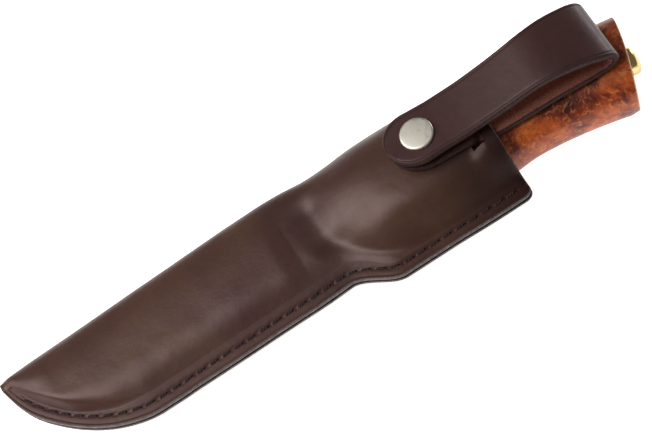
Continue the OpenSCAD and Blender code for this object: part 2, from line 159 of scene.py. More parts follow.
# ---------------------------------------------------------------------------
# Sheath outline (y against x) and heights
# ---------------------------------------------------------------------------
def edge_y(x):
    """Cut edge of the flange: rounded tip, wider at the handle, small corner at the mouth."""
    tip = TIP_CY - (TIP_CY + BLADE_EDGE) * np.maximum(
        0, 1 - (np.maximum(0, TIP_CX - x) / (TIP_CX - TIP_X)) ** TIP_POWER
    ) ** (1 / TIP_POWER)
    body = (
        -BLADE_EDGE
        - (GRIP_EDGE - BLADE_EDGE) * smooth((x + 3) / 19)
        + 3.5 * (1 - np.sqrt(1 - clip01((x - MOUTH + 3.5) / 3.7) ** 2))
    )
    return np.where(x < TIP_CX, tip, body)


def edge_dy(x):
    return (edge_y(x + 0.05) - edge_y(x - 0.05)) / 0.1


def edge_slope(x):
    """Length of the edge per mm of x."""
    return np.sqrt(1 + edge_dy(x) ** 2)


def inset_y(x, distance):
    return edge_y(x) + distance * edge_slope(np.minimum(x, MOUTH - 4))


def fold_y(x):
    """Outside of the fold: fuller along the blade, slightly swollen at x = -3."""
    return (
        FOLD_Y
        + 2.5 * clip01((x + 128) / 97) * (1 - smooth((x + 17) / 22))
        + 0.9 * np.exp(-(((x + 3) / 9) ** 2))
        - 1.4 * smooth((x - 22) / 36)
        - 0.9 * (1 - np.sqrt(1 - clip01((-122 - x) / 6.8) ** 2))
    )


def hump_top(x):
    return FLANGE_TOP + 0.02 + (HUMP_H - FLANGE_TOP) * smooth((x + 127.5) / 17)


def grip_top(x):
    return 13.2 + (GRIP_H - 13.2) * smooth((x - 4) / 36)


def crease_x(y):
    """Curved line where the leather starts to climb over the handle."""
    return -0.9 + 0.0055 * np.maximum(0, -y) ** 2.4


def bulge(x, y):
    """Rise over the handle, 0 to 1: abrupt on the flange side, gentle at the fold."""
    return mix(
        1 - (1 - ease((x - crease_x(y)) / 26)) ** 2.1,
        smooth((x + 14) / 42),
        smooth((y - 1) / 11),
    )


def top_h(x, y=-3.0):
    """Outside height of the leather: blade hump, step down, valley, handle bulge."""
    deep = 1.3 * smooth((-7 - y) / 8)
    fade = 1 - 0.6 * smooth(y / 11)
    step = 0.85 * ease((x + 20) / 7.0, 0.16) * fade
    by_fold = smooth((y - 1) / 11)
    fall_x = mix(crease_x(y) - 11.5, -16, by_fold)
    fall_len = mix(11.5, 22, by_fold)
    fall = (HUMP_H - VALLEY_H - 0.85 * fade + deep) * smooth((x - fall_x) / fall_len)
    return hump_top(x) - step - fall + (grip_top(x) - VALLEY_H + deep) * bulge(x, y)


def crown_y(x):
    """Where the formed side is highest and the rounding to the fold begins."""
    reach = mix(2, 18, smooth((x + 127) / 20))
    tip = np.maximum(-2, fold_y(x) - T_LEATHER / 2 - reach)
    return np.where(x < -80, tip, mix(-2, -8, smooth((x + 10) / 20)))


def gutter_y(x):
    """Where the flat flange ends and the formed side begins."""
    width = (
        4.6
        + 1.2 * smooth((x + 98) / 14)
        - 1.2 * smooth((x + 5) / 20)
        + 0.8 * np.exp(-(((x - 1) / 9) ** 2))
    )
    return np.minimum(inset_y(x, width), crown_y(x) - 0.6)


def tip_stations(inset, degrees):
    """Stations from TIP_X + inset to TIP_CX, close together at the tip."""
    return TIP_CX - (TIP_CX - TIP_X - inset) * np.sin(np.radians(90 - degrees))


# ---------------------------------------------------------------------------
# Placement: the handle bulge of the sheath rests on the ground
# ---------------------------------------------------------------------------
COS_TILT, SIN_TILT = math.cos(math.radians(TILT)), math.sin(math.radians(TILT))
belly_x = np.arange(20, 66.5, 1.0)
belly_h = top_h(belly_x) * COS_TILT - belly_x * SIN_TILT
REST_X = float(belly_x[int(np.argmax(belly_h))])
LIFT_Z = float(belly_h.max()) - PRESS
SHIFT_X = REST_X * COS_TILT + float(top_h(REST_X)) * SIN_TILT


def turn(v):
    """A direction in the knife's frame, turned by the tilt."""
    v = np.asarray(v, float)
    x, y, z = v[..., 0], v[..., 1], v[..., 2]
    return np.stack([x * COS_TILT - z * SIN_TILT, y, x * SIN_TILT + z * COS_TILT], -1)


def world(points):
    """Points in the knife's frame, mm, to the scene, m."""
    return (turn(points) + (-SHIFT_X, -REST_Y, LIFT_Z)) / 1000


# ---------------------------------------------------------------------------
# Mesh helpers
# ---------------------------------------------------------------------------
def make(name, verts, faces, attrs=None, sharp=40):
    """verts in the knife's frame; attrs maps a name to one float per vertex"""
    verts = np.asarray(verts, float)
    mesh = bpy.data.meshes.new(name)
    mesh.from_pydata(world(verts).tolist(), [], faces)
    rest = mesh.attributes.new("rest", "FLOAT_VECTOR", "POINT")
    rest.data.foreach_set("vector", verts.astype(np.float32).ravel())
    for key, values in (attrs or {}).items():
        layer = mesh.attributes.new(key, "FLOAT", "POINT")
        layer.data.foreach_set("value", np.asarray(values, np.float32))
    mesh.validate()
    mesh.update()
    mesh.polygons.foreach_set("use_smooth", np.ones(len(mesh.polygons), bool))
    mesh.set_sharp_from_angle(angle=math.radians(sharp))
    obj = bpy.data.objects.new(name, mesh)
    bpy.context.scene.collection.objects.link(obj)
    return obj


def finish_piece(obj, material, body, slot, *cad_nodes):
    """body is the moving part it rides, or None where it is left unattached"""
    obj.data.materials.append(material)
    if body:
        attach(obj, body)
    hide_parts(*cad_nodes)


def loft_faces(rings, count, caps=True, base=0):
    """Skin over rings of count vertices each, the first vertex being number base."""
    faces = []
    for r in range(rings - 1):
        a, b = base + r * count, base + (r + 1) * count
        for i in range(count):
            j = (i + 1) % count
            faces.append((a + i, b + i, b + j, a + j))
    if caps:
        last = base + (rings - 1) * count
        faces.append(tuple(range(base, base + count)))
        faces.append(tuple(range(last + count - 1, last - 1, -1)))
    return faces


def lathe(name, profile, place, seg=96, sharp=30):
    """profile: (radius, height) pairs; place maps (a, b, height) to the knife's frame"""
    verts = []
    for radius, height in profile:
        for g in range(seg):
            angle = 2 * math.pi * g / seg
            verts.append(place(radius * math.cos(angle), radius * math.sin(angle), height))
    rings = len(profile)
    faces = [face[::-1] for face in loft_faces(rings, seg, caps=False)]
    faces.append(tuple(range(seg)))
    faces.append(tuple((rings - 1) * seg + i for i in range(seg - 1, -1, -1)))
    return make(name, verts, faces, sharp=sharp)


def oval(x, yc, half_w, half_h, power, count=112):
    """Superellipse across the knife at x."""
    angle = 2 * math.pi * np.arange(count) / count
    ca, sa = np.cos(angle), np.sin(angle)
    y = half_w * np.sign(ca) * np.abs(ca) ** (2 / power)
    z = half_h * np.sign(sa) * np.abs(sa) ** (2 / power)
    return np.stack([np.full(count, float(x)), yc + y, z], 1)


# ---------------------------------------------------------------------------
# Materials
# ---------------------------------------------------------------------------
class Shader:
    """A Principled material; its patterns run on positions in mm.

    The positions come from the "rest" attribute, or from object coordinates.
    """

    def __init__(self, name, rest=True):
        self.material = bpy.data.materials.new(name)
        self.material.use_nodes = True
        self.tree = self.material.node_tree
        self.tree.nodes.clear()
        output = self.node("ShaderNodeOutputMaterial")
        self.bsdf = self.node("ShaderNodeBsdfPrincipled")
        self.link(self.bsdf.outputs[0], output.inputs["Surface"])
        if rest:
            self.pos = self.attr("rest", "Vector")
        else:
            coords = self.node("ShaderNodeTexCoord")
            self.pos = self.scaled(coords.outputs["Object"], 1000)

    def node(self, kind):
        return self.tree.nodes.new(kind)

    def link(self, source, target):
        self.tree.links.new(source, target)

    def put(self, socket, v):
        if isinstance(v, bpy.types.NodeSocket):
            self.link(v, socket)
        else:
            socket.default_value = v

    def put_color(self, socket, v):
        self.put(socket, (*v, 1) if isinstance(v, tuple) else v)

    def attr(self, name, out="Fac"):
        node = self.node("ShaderNodeAttribute")
        node.attribute_name = name
        return node.outputs[out]

    def noise(self, scale, detail=3, rough=0.5, dist=0.0, pos=None, out="Fac"):
        node = self.node("ShaderNodeTexNoise")
        node.inputs["Scale"].default_value = scale
        node.inputs["Detail"].default_value = detail
        node.inputs["Roughness"].default_value = rough
        node.inputs["Distortion"].default_value = dist
        self.link(pos or self.pos, node.inputs["Vector"])
        return node.outputs[out]

    def cells(self, scale, pos=None):
        node = self.node("ShaderNodeTexVoronoi")
        node.feature = "SMOOTH_F1"
        node.inputs["Scale"].default_value = scale
        self.link(pos or self.pos, node.inputs["Vector"])
        return node.outputs["Distance"]

    def math(self, op, a, b=0.0, clamp=False):
        node = self.node("ShaderNodeMath")
        node.operation = op
        node.use_clamp = clamp
        for socket, v in zip(node.inputs, (a, b, 0.0)):
            self.put(socket, v)
        return node.outputs[0]

    def add(self, a, b):
        return self.math("ADD", a, b)

    def sub(self, a, b, clamp=False):
        return self.math("SUBTRACT", a, b, clamp)

    def mul(self, a, b):
        return self.math("MULTIPLY", a, b)

    def vmath(self, op, a, b):
        node = self.node("ShaderNodeVectorMath")
        node.operation = op
        self.put(node.inputs[0], a)
        self.put(node.inputs[1], b)
        return node.outputs[0]

    def scaled(self, v, factor):
        node = self.node("ShaderNodeVectorMath")
        node.operation = "SCALE"
        self.link(v, node.inputs[0])
        node.inputs["Scale"].default_value = factor
        return node.outputs[0]

    def ramp(self, fac, stops):
        """stops: (position, colour) pairs"""
        node = self.node("ShaderNodeValToRGB")
        elements = node.color_ramp.elements
        while len(elements) < len(stops):
            elements.new(0.5)
        for element, (position, color) in zip(elements, stops):
            element.position = position
            element.color = (*color, 1)
        self.link(fac, node.inputs[0])
        return node.outputs[0]

    def blend(self, fac, a, b):
        """Colour a where fac is 0, b where it is 1."""
        node = self.node("ShaderNodeMix")
        node.data_type = "RGBA"
        node.blend_type = "MIX"
        node.clamp_factor = True
        self.put(node.inputs[0], fac)
        self.put_color(node.inputs[6], a)
        self.put_color(node.inputs[7], b)
        return node.outputs[2]

    def span(self, v, from0, from1, to0=0.0, to1=1.0):
        """Map v from one range to another, clamped."""
        node = self.node("ShaderNodeMapRange")
        node.clamp = True
        self.put(node.inputs[0], v)
        for i, limit in enumerate((from0, from1, to0, to1)):
            node.inputs[i + 1].default_value = limit
        return node.outputs[0]

    def bump(self, height, dist, strength, normal=None):
        """dist in mm"""
        node = self.node("ShaderNodeBump")
        node.inputs["Strength"].default_value = strength
        node.inputs["Distance"].default_value = dist / 1000
        self.link(height, node.inputs["Height"])
        if normal is not None:
            self.link(normal, node.inputs["Normal"])
        return node.outputs[0]

    def x_coord(self):
        node = self.node("ShaderNodeSeparateXYZ")
        self.link(self.pos, node.inputs[0])
        return node.outputs[0]

    def finish(self, **inputs):
        for key, v in inputs.items():
            self.put_color(self.bsdf.inputs[key.replace("_", " ")], v)
        return self.material


LEATHER_SHEEN = (1.0, 0.80, 0.775)


def leather_mat():
    """Waxed dark brown leather, with lighter fibrous cut edges and a rough inside."""
    mat = Shader("leather_dark")
    edge = mat.attr("edge")
    inner = mat.attr("inner")
    big = mat.noise(0.035, rough=0.55)
    mid = mat.noise(0.22, detail=4, rough=0.6)
    fine = mat.noise(1.6, detail=4, rough=0.6)
    col = mat.ramp(big, [
        (0.30, (0.0400, 0.0150, 0.0135)),
        (0.52, (0.0500, 0.0225, 0.0155)),
        (0.72, (0.0620, 0.0310, 0.0180)),
    ])
    col = mat.blend(mat.span(mid, 0.35, 0.75, 0, 0.35), col, (0.029, 0.0110, 0.0100))
    col = mat.blend(mat.span(fine, 0.50, 0.75, 0, 0.30), col, (0.080, 0.044, 0.034))
    # fibre side, inside the sheath
    rough_in = mat.noise(0.9, detail=5, rough=0.7)
    flesh = mat.ramp(rough_in, [(0.3, (0.050, 0.022, 0.015)), (0.7, (0.120, 0.058, 0.038))])
    col = mat.blend(inner, col, flesh)
    # cut edges: grey-brown fibres with dark patches
    fibre = mat.noise(2.2, detail=6, rough=0.75, dist=0.6)
    layers = mat.noise(0.5, detail=4, rough=0.7)
    edge_col = mat.ramp(fibre, [
        (0.28, (0.030, 0.026, 0.024)),
        (0.50, (0.125, 0.112, 0.107)),
        (0.72, (0.360, 0.335, 0.320)),
    ])
    dark_layer = mat.span(layers, 0.5, 0.75, 0, 0.65)
    edge_col = mat.blend(dark_layer, edge_col, (0.035, 0.025, 0.021))
    # painted shade: darker towards the mouth, as if the surface there fell away from the light; less
    # specular there too
    x = mat.x_coord()
    dark = mat.mul(mat.span(x, 34, 66, 0, 0.86), mat.span(big, 0.2, 0.6, 0.85, 1.0))
    col = mat.blend(dark, col, (0.0130, 0.0058, 0.0056))
    # painted shade: the hollow before the handle bulge is darkened as if shaded
    hollow = mat.mul(mat.span(x, -26, -10, 0, 0.42), mat.span(x, -2, 14, 1, 0))
    col = mat.blend(hollow, col, (0.0200, 0.0082, 0.0078))
    neck = mat.span(x, 2, 24, 0, 0.08)
    rim = mat.attr("rim")
    col = mat.blend(mat.mul(rim, 0.25), col, (0.030, 0.0125, 0.0115))
    col = mat.blend(edge, col, edge_col)
    # pebble and pores, over slow unevenness
    height = mat.add(mat.mul(mat.cells(1.15), 0.55), mat.mul(mat.noise(3.5, rough=0.6), 0.45))
    height = mat.add(height, mat.mul(mat.mul(fibre, 2.2), edge))
    height = mat.add(height, mat.mul(mat.mul(rough_in, 2.0), inner))
    grain = mat.bump(height, dist=0.05, strength=0.55)
    normal = mat.bump(mid, dist=0.35, strength=0.30, normal=grain)
    rough = mat.span(mat.add(mat.mul(mid, 0.5), mat.mul(fine, 0.5)), 0.3, 0.75, 0.31, 0.43)
    rough = mat.add(rough, mat.mul(edge, 0.18))
    rough = mat.add(rough, mat.mul(inner, 0.35))
    spec = mat.sub(0.34, mat.mul(mat.add(edge, inner), 0.20))
    spec = mat.sub(spec, mat.mul(rim, 0.13))
    spec = mat.sub(spec, neck)
    # less specular where the painted shade darkens the mouth
    spec = mat.sub(spec, mat.mul(dark, 0.13), clamp=True)
    return mat.finish(
        Base_Color=col, Roughness=rough, Normal=normal,
        Specular_IOR_Level=spec, Specular_Tint=LEATHER_SHEEN,
    )


def strap_mat():
    """Smooth grain with a burnished line, reddish rough flesh side, dark dressed edges."""
    mat = Shader("leather_strap")
    edge = mat.attr("edge")
    flesh = mat.attr("flesh")
    line = mat.attr("line")
    big = mat.noise(0.04, rough=0.55)
    mid = mat.noise(0.3, detail=4, rough=0.6)
    fine = mat.noise(2.0, detail=4, rough=0.6)
    col = mat.ramp(big, [
        (0.30, (0.0320, 0.0132, 0.0132)),
        (0.55, (0.0385, 0.0170, 0.0158)),
        (0.75, (0.0460, 0.0215, 0.0185)),
    ])
    col = mat.blend(mat.span(fine, 0.5, 0.8, 0, 0.20), col, (0.055, 0.032, 0.028))
    col = mat.blend(mat.mul(line, 0.5), col, (0.016, 0.009, 0.008))
    # flesh side: blotched, and with painted shade where the flap covers it
    blot = mat.noise(0.55, detail=5, rough=0.72, dist=0.8)
    fibre = mat.noise(1.6, detail=6, rough=0.75, dist=0.4)
    flesh_col = mat.ramp(fibre, [
        (0.28, (0.130, 0.052, 0.037)),
        (0.50, (0.245, 0.098, 0.068)),
        (0.75, (0.390, 0.185, 0.135)),
    ])
    blotched = mat.span(blot, 0.58, 0.70, 0, 0.55)
    flesh_col = mat.blend(blotched, flesh_col, (0.030, 0.011, 0.009))
    # painted shade under the flap: near black up to x = 60, gone by x = 67
    flap_shade = mat.span(mat.x_coord(), 60, 67, 0.85, 0.0)
    flesh_col = mat.blend(flap_shade, flesh_col, (0.009, 0.0045, 0.004))
    col = mat.blend(flesh, col, flesh_col)
    edge_col = mat.ramp(mat.noise(1.8, detail=6, rough=0.75, dist=0.5), [
        (0.30, (0.009, 0.0045, 0.0040)),
        (0.55, (0.034, 0.0180, 0.0160)),
        (0.75, (0.110, 0.070, 0.062)),
    ])
    col = mat.blend(edge, col, edge_col)
    pores = mat.noise(4, rough=0.6)
    height = mat.add(mat.mul(mat.cells(1.4), 0.5), mat.mul(pores, 0.4))
    fibrous = mat.add(flesh, mat.mul(edge, 0.6))
    height = mat.add(height, mat.mul(mat.mul(fibre, 3.0), fibrous))
    grain = mat.bump(height, dist=0.05, strength=0.55)
    normal = mat.bump(mid, dist=0.25, strength=0.25, normal=grain)
    rough = mat.span(mid, 0.3, 0.75, 0.32, 0.44)
    rough = mat.add(rough, mat.mul(flesh, 0.42))
    rough = mat.add(rough, mat.mul(edge, 0.15))
    spec = mat.sub(0.26, mat.add(mat.mul(flesh, 0.23), mat.mul(edge, 0.17)), clamp=True)
    return mat.finish(
        Base_Color=col, Roughness=rough, Normal=normal,
        Specular_IOR_Level=spec, Specular_Tint=LEATHER_SHEEN,
    )


def welt_mat():
    """Nearly black cut fibres."""
    mat = Shader("leather_welt")
    fibre = mat.noise(2.4, detail=6, rough=0.75, dist=0.6)
    col = mat.ramp(fibre, [
        (0.30, (0.003, 0.0025, 0.002)),
        (0.62, (0.009, 0.007, 0.006)),
        (0.82, (0.060, 0.048, 0.043)),
    ])
    normal = mat.bump(fibre, dist=0.15, strength=0.8)
    return mat.finish(Base_Color=col, Roughness=0.85, Normal=normal, Specular_IOR_Level=0.15)


def thread_mat():
    """Dark waxed thread; the twist attribute counts its plies."""
    mat = Shader("thread_waxed")
    ply = mat.math("SINE", mat.mul(mat.attr("twist"), 6.2832))
    fuzz = mat.noise(6.0, detail=4, rough=0.7)
    col = mat.ramp(fuzz, [
        (0.30, (0.008, 0.0036, 0.0034)),
        (0.62, (0.024, 0.0115, 0.0100)),
        (0.80, (0.08, 0.050, 0.045)),
    ])
    col = mat.blend(mat.span(ply, -1, 0.2, 0.6, 0), col, (0.004, 0.003, 0.003))
    height = mat.add(mat.mul(ply, 0.7), mat.mul(fuzz, 0.5))
    normal = mat.bump(height, dist=0.12, strength=0.9)
    return mat.finish(Base_Color=col, Roughness=0.6, Normal=normal, Specular_IOR_Level=0.2)


def wood_mat():
    """Oiled curly birch burl: swirled figure, bright flecks, dark seams, fine pores."""
    mat = Shader("wood_burl")

    def swirl(pos, scale, rough, amount):
        shift = mat.noise(scale, rough=rough, pos=pos, out="Color")
        shift = mat.scaled(mat.vmath("SUBTRACT", shift, (0.5, 0.5, 0.5)), amount)
        return mat.vmath("ADD", pos, shift)

    swirled = swirl(mat.pos, scale=0.060, rough=0.55, amount=15.0)
    curled = swirl(swirled, scale=0.20, rough=0.6, amount=4.0)
    figure = mat.noise(0.115, detail=4, rough=0.50, dist=0.6, pos=curled)
    fleck = mat.noise(0.42, detail=4, rough=0.6, dist=0.9, pos=swirled)
    patch = mat.noise(0.055, rough=0.55, dist=0.4)
    pores = mat.noise(3.0, detail=4, rough=0.7, dist=0.5, pos=swirled)
    eye = mat.cells(0.16, pos=curled)
    tone = mat.add(mat.mul(figure, 0.62), mat.mul(patch, 0.44))
    tone = mat.add(tone, mat.mul(mat.sub(0.55, eye), 0.16))
    col = mat.ramp(tone, [
        (0.38, (0.034, 0.0070, 0.0080)),
        (0.46, (0.135, 0.0215, 0.0090)),
        (0.54, (0.300, 0.0500, 0.0110)),
        (0.62, (0.440, 0.0860, 0.0150)),
        (0.70, (0.480, 0.1350, 0.0280)),
        (0.82, (0.620, 0.2300, 0.0700)),
    ])
    col = mat.blend(mat.span(fleck, 0.52, 0.72, 0, 0.75), col, (0.62, 0.215, 0.055))
    col = mat.blend(mat.span(fleck, 0.30, 0.46, 0.60, 0), col, (0.030, 0.006, 0.004))
    col = mat.blend(mat.span(pores, 0.60, 0.74, 0, 0.45), col, (0.030, 0.008, 0.005))
    # painted highlight: pale peach band along the butt's rounded corner, set by the rim attribute
    col = mat.blend(mat.attr("rim"), col, (0.90, 0.55, 0.33))
    return mat.finish(
        Base_Color=col,
        Roughness=mat.span(figure, 0.3, 0.7, 0.28, 0.40),
        Normal=mat.bump(pores, dist=0.03, strength=0.4),
        Coat_Weight=0.0, Coat_Roughness=0.15, Specular_IOR_Level=0.30,
    )


def metal_mat(name, col, rough, rest=True, bump=0.25, dark=None, brushed=None):
    """dark: colour of the clouding; brushed: pattern scale per axis of fine lines"""
    mat = Shader(name, rest)
    clouds = mat.noise(0.6, detail=5, rough=0.65)
    height = mat.noise(6.0, detail=4, rough=0.7)
    dark = dark or tuple(v * 0.7 for v in col)
    shade = mat.blend(mat.span(clouds, 0.4, 0.8, 0, 0.5), col, dark)
    if brushed:
        lines = mat.noise(1.0, rough=0.6, pos=mat.vmath("MULTIPLY", mat.pos, brushed))
        line_col = tuple(v * 0.6 for v in col)
        shade = mat.blend(mat.span(lines, 0.35, 0.7, 0, 0.16), shade, line_col)
        height = mat.add(lines, mat.mul(height, 0.3))
    return mat.finish(
        Base_Color=shade, Metallic=1.0,
        Roughness=mat.span(clouds, 0.3, 0.8, rough * 0.85, rough * 1.4),
        Normal=mat.bump(height, dist=0.02, strength=bump),
    )


def plastic_mat():
    mat = Shader("plastic_liner", rest=False)
    fine = mat.noise(1.4, detail=4, rough=0.6)
    broad = mat.noise(0.12, detail=2)
    return mat.finish(
        Base_Color=mat.ramp(broad, [(0.3, (0.008, 0.008, 0.009)), (0.7, (0.016, 0.016, 0.018))]),
        Roughness=mat.span(fine, 0.3, 0.7, 0.42, 0.6),
        Normal=mat.bump(fine, dist=0.05, strength=0.4),
    )


LEATHER = leather_mat()
STRAP = strap_mat()
WELT = welt_mat()
THREAD = thread_mat()
WOOD = wood_mat()
NICKEL = metal_mat("nickel_cap", (0.60, 0.56, 0.49), rough=0.40, bump=0.30, dark=(0.52, 0.48, 0.415))
NICKEL_INNER = metal_mat("nickel_inner", (0.60, 0.565, 0.50), rough=0.28, rest=False)
WIRE = metal_mat("wire_steel", (0.55, 0.55, 0.55), rough=0.25, rest=False)
BRASS = metal_mat("brass_polished", (0.70, 0.52, 0.235), rough=0.24, dark=(0.52, 0.35, 0.13))
STEEL = metal_mat(
    "blade_steel", (0.40, 0.41, 0.42), rough=0.34, bump=0.04,
    dark=(0.35, 0.36, 0.37), brushed=(0.05, 2.0, 2.0),
)
PLASTIC = plastic_mat()

# CAD pieces shown as they are
for node_name, material in (
    ("snap_post", NICKEL_INNER),
    ("snap_stud", NICKEL_INNER),
    ("snap_socket", NICKEL_INNER),
    ("snap_spring", WIRE),
    ("blade_liner", PLASTIC),
):
    slots = frame["nodes"][node_name].data.materials
    slots.clear()
    slots.append(material)


# ---------------------------------------------------------------------------
# Stitch holes at an even pitch along the flange
# ---------------------------------------------------------------------------
def stitch_holes():
    x = np.concatenate([
        tip_stations(4.1, 0.5 * np.arange(0, 181)),
        np.arange(-81.8, MOUTH - 1.9, 0.2),
    ])
    y = inset_y(x, STITCH_INSET)
    length = np.concatenate([[0], np.cumsum(np.hypot(np.diff(x), np.diff(y)))])
    count = int((length[-1] - 4.3) / STITCH_PITCH) + 1
    jitter = np.random.default_rng(7).normal(0, 0.10, count)
    at = 3.8 + STITCH_PITCH * np.arange(count) + jitter
    return np.stack([np.interp(at, length, x), np.interp(at, length, y)], 1)


HOLES = stitch_holes()


# ---------------------------------------------------------------------------
# Sheath: one piece of leather, folded, formed over the liner and the handle
# ---------------------------------------------------------------------------
# flange points as fractions of its width, close-set by the edge and the stitch line
FLANGE_STEPS = np.array([
    0, .012, .03, .055, .09, .13, .18, .215, .25, .285,
    .32, .38, .46, .56, .64, .72, .80, .90, 1.0,
])
FLANGE_N, SIDE_N, ROUND_N = len(FLANGE_STEPS), 30, 30
HALF_N = FLANGE_N + SIDE_N + ROUND_N
RING_N = 2 * HALF_N - 1
RING_I = np.arange(RING_N)
IN_FLANGE = (RING_I < FLANGE_N) | (RING_I >= RING_N - FLANGE_N)
RING_SIGN = np.where(RING_I < HALF_N, 1.0, -1.0)
EDGE_ROWS = 4  # extra rows of points down each cut edge, which keep it crisp


def press(points):
    """The clamped and trimmed rim: layers squeezed together, edge drawn out a little."""
    v = np.array(points, float)
    dy = edge_dy(v[..., 0])
    slope = np.sqrt(1 + dy**2)
    distance = (v[..., 1] - edge_y(v[..., 0])) / slope
    flat = (1 - smooth((np.abs(v[..., 2]) - 4.4) / 4)) * (v[..., 0] < MOUTH + 1)
    rim = (1 - smooth(distance / 6.5)) * flat
    squeeze = (1 - smooth((distance - 1.0) / 6.5)) * flat
    x = v[..., 0]
    grow = 1.0 + 0.12 * noise_along(x, 7, 21)
    grow = (
        grow * smooth((x + 129.5) / 9)
        + 0.5 * smooth((x + 118) / 20)
        - 0.75 * smooth((x + 14) / 22) * smooth((56 - x) / 26)
    )
    v[..., 0] += grow * rim * np.where(v[..., 0] < MOUTH - 4, dy / slope, 0)
    v[..., 1] -= grow * rim / np.where(v[..., 0] < MOUTH - 4, slope, 1)
    v[..., 2] *= 1 - 0.40 * squeeze
    return v


def section(x, top):
    """Middle line (y, z) of the leather in one half, from the flange edge to the fold."""
    edge, gutter, crown = float(edge_y(x)), float(gutter_y(x)), float(crown_y(x))
    fold = float(fold_y(x)) - T_LEATHER / 2
    at_grip = float(smooth((x + 4) / 12))
    power = mix(2.25, 2.6, at_grip)
    y_flange = mix(edge, gutter, FLANGE_STEPS)
    u = (np.arange(1, SIDE_N + 1) / SIDE_N) ** 1.2
    y_side = mix(gutter, crown, u)
    angle = np.radians(90 - 90 * np.arange(1, ROUND_N + 1) / ROUND_N)
    y_round = crown + (fold - crown) * np.cos(angle) ** (2 / power)
    # the side climbs with a soft foot and a full shoulder
    foot = mix(1.6, 1.5, at_grip)
    shoulder = mix(7.6, 5.4, float(smooth((x - 8) / 20)))
    climb = 1 - (1 - u**foot) ** shoulder
    z_side = FLANGE_MID + (top_h(x, y_side) - T_LEATHER / 2 - FLANGE_MID) * climb
    z_round = (top_h(x, y_round) - T_LEATHER / 2) * np.sin(angle) ** (2 / power)
    z_round[-1] = 0
    y = np.concatenate([y_flange, y_side, y_round])
    z = np.concatenate([np.full(FLANGE_N, FLANGE_MID), z_side, z_round])
    if top:
        # between slit and mouth the upper skin rises in a low arch
        sag = np.where(y < -6.6, 1.15, 2.0) * clip01(np.abs(y + 6.6) / 11.2) ** 2
        across = smooth((y + 30) / 13) * smooth((9.6 - y) / 4.8)
        arch = mix(z, np.maximum(z, 17.42 - sag), across)
        along = mix(
            float(smooth((x - 57.2) / 6.3)),
            float(smooth((x - 54.6) / 9.4)),
            smooth((-16.6 - y) / 7.5),
        )
        z = mix(z, arch, along)
    return y, z


def sheath_skins(stations):
    """Outer and inner points, one ring per station from top flange to bottom flange."""
    outer, inner = [], []
    for x in stations:
        y_top, z_top = section(x, True)
        y_low, z_low = section(x, False)
        y = np.concatenate([y_top, y_low[-2::-1]])
        z = np.concatenate([z_top, -z_low[-2::-1]])
        ty, tz = np.gradient(y), np.gradient(z)
        ty[:FLANGE_N - 1], tz[:FLANGE_N - 1] = 1, 0
        ty[-(FLANGE_N - 1):], tz[-(FLANGE_N - 1):] = -1, 0
        ty[HALF_N - 1], tz[HALF_N - 1] = 0, -1
        length = np.hypot(ty, tz)
        ny, nz = -tz / length, ty / length
        e = clip01((x - (MOUTH - MOUTH_ROUND)) / MOUTH_ROUND)
        half = T_LEATHER / 2 - MOUTH_ROUND * (1 - math.sqrt(max(0, 1 - e * e)))
        ring_x = np.full(RING_N, x)
        outer.append(np.stack([ring_x, y + ny * half, z + nz * half], 1))
        inner.append(np.stack([ring_x, y - ny * half, z - nz * half], 1))
    return np.array(outer), np.array(inner)


def tool_outside(outer, stations, distance):
    """Rolled corner, crease line, stitch groove and holes, then hand-made unevenness."""
    x, corner = outer[..., 0], 0.42
    roll = np.sqrt(np.maximum(0, corner**2 - np.maximum(0, corner - distance) ** 2))
    dz = -(corner - roll) * (distance < corner)
    wobble = 0.12 * noise_along(x, 9, 3)
    dz -= 0.22 * np.exp(-(((distance - 1.15 - wobble) / 0.18) ** 2))
    dz -= 0.34 * np.exp(-(((distance - STITCH_INSET) / 0.62) ** 4))
    for hole_x, hole_y in HOLES:
        near = np.abs(stations - hole_x) < 2.4
        r2 = (x[near] - hole_x) ** 2 + (outer[near][..., 1] - hole_y) ** 2
        dent = 0.80 * np.exp(-r2 / 0.38**2) - 0.08 * np.exp(-r2 / 0.95**2)
        dz[near] -= np.where(IN_FLANGE, dent, 0)
    outer[..., 2] += dz * RING_SIGN
    formed = smooth((np.minimum(RING_I, RING_N - 1 - RING_I) - FLANGE_N) / 12)
    wave = 0.16 * value_noise(outer, 17, 1) + 0.06 * value_noise(outer, 6, 2)
    outer[..., 2] += wave * formed * RING_SIGN * (1 - smooth((x - 52) / 8))


def slit_cells(stations, outer):
    """Faces left out of the upper half where the strap goes through."""
    mid_x = 61.5
    y0 = strap_y(mid_x) - strap_half(mid_x) - 1.5
    y1 = strap_y(mid_x) + strap_half(mid_x) + 0.3
    slit = np.zeros((len(stations) - 1, RING_N - 1), bool)
    for r in range(len(stations) - 1):
        if stations[r] >= SLIT_X0 - 0.01 and stations[r + 1] <= SLIT_X1 + 0.31:
            yc = (outer[r, :-1, 1] + outer[r, 1:, 1]) / 2
            slit[r] = (yc > y0) & (yc < y1) & (RING_I[:-1] < HALF_N - 2)
    return slit


def cut_edge_points(outer, inner):
    """Slightly bulged and rough rows between the skins, down both flange edges."""
    rng = np.random.default_rng(11)
    points = []
    for side in (0, RING_N - 1):
        for a, b in zip(outer[:, side], inner[:, side]):
            for t in np.linspace(0, 1, EDGE_ROWS + 2)[1:-1]:
                out = 0.10 * math.sin(math.pi * t) - 0.02 + 0.05 * rng.standard_normal()
                points.append(a * (1 - t) + b * t - np.array([0, out, 0]))
    return np.array(points)


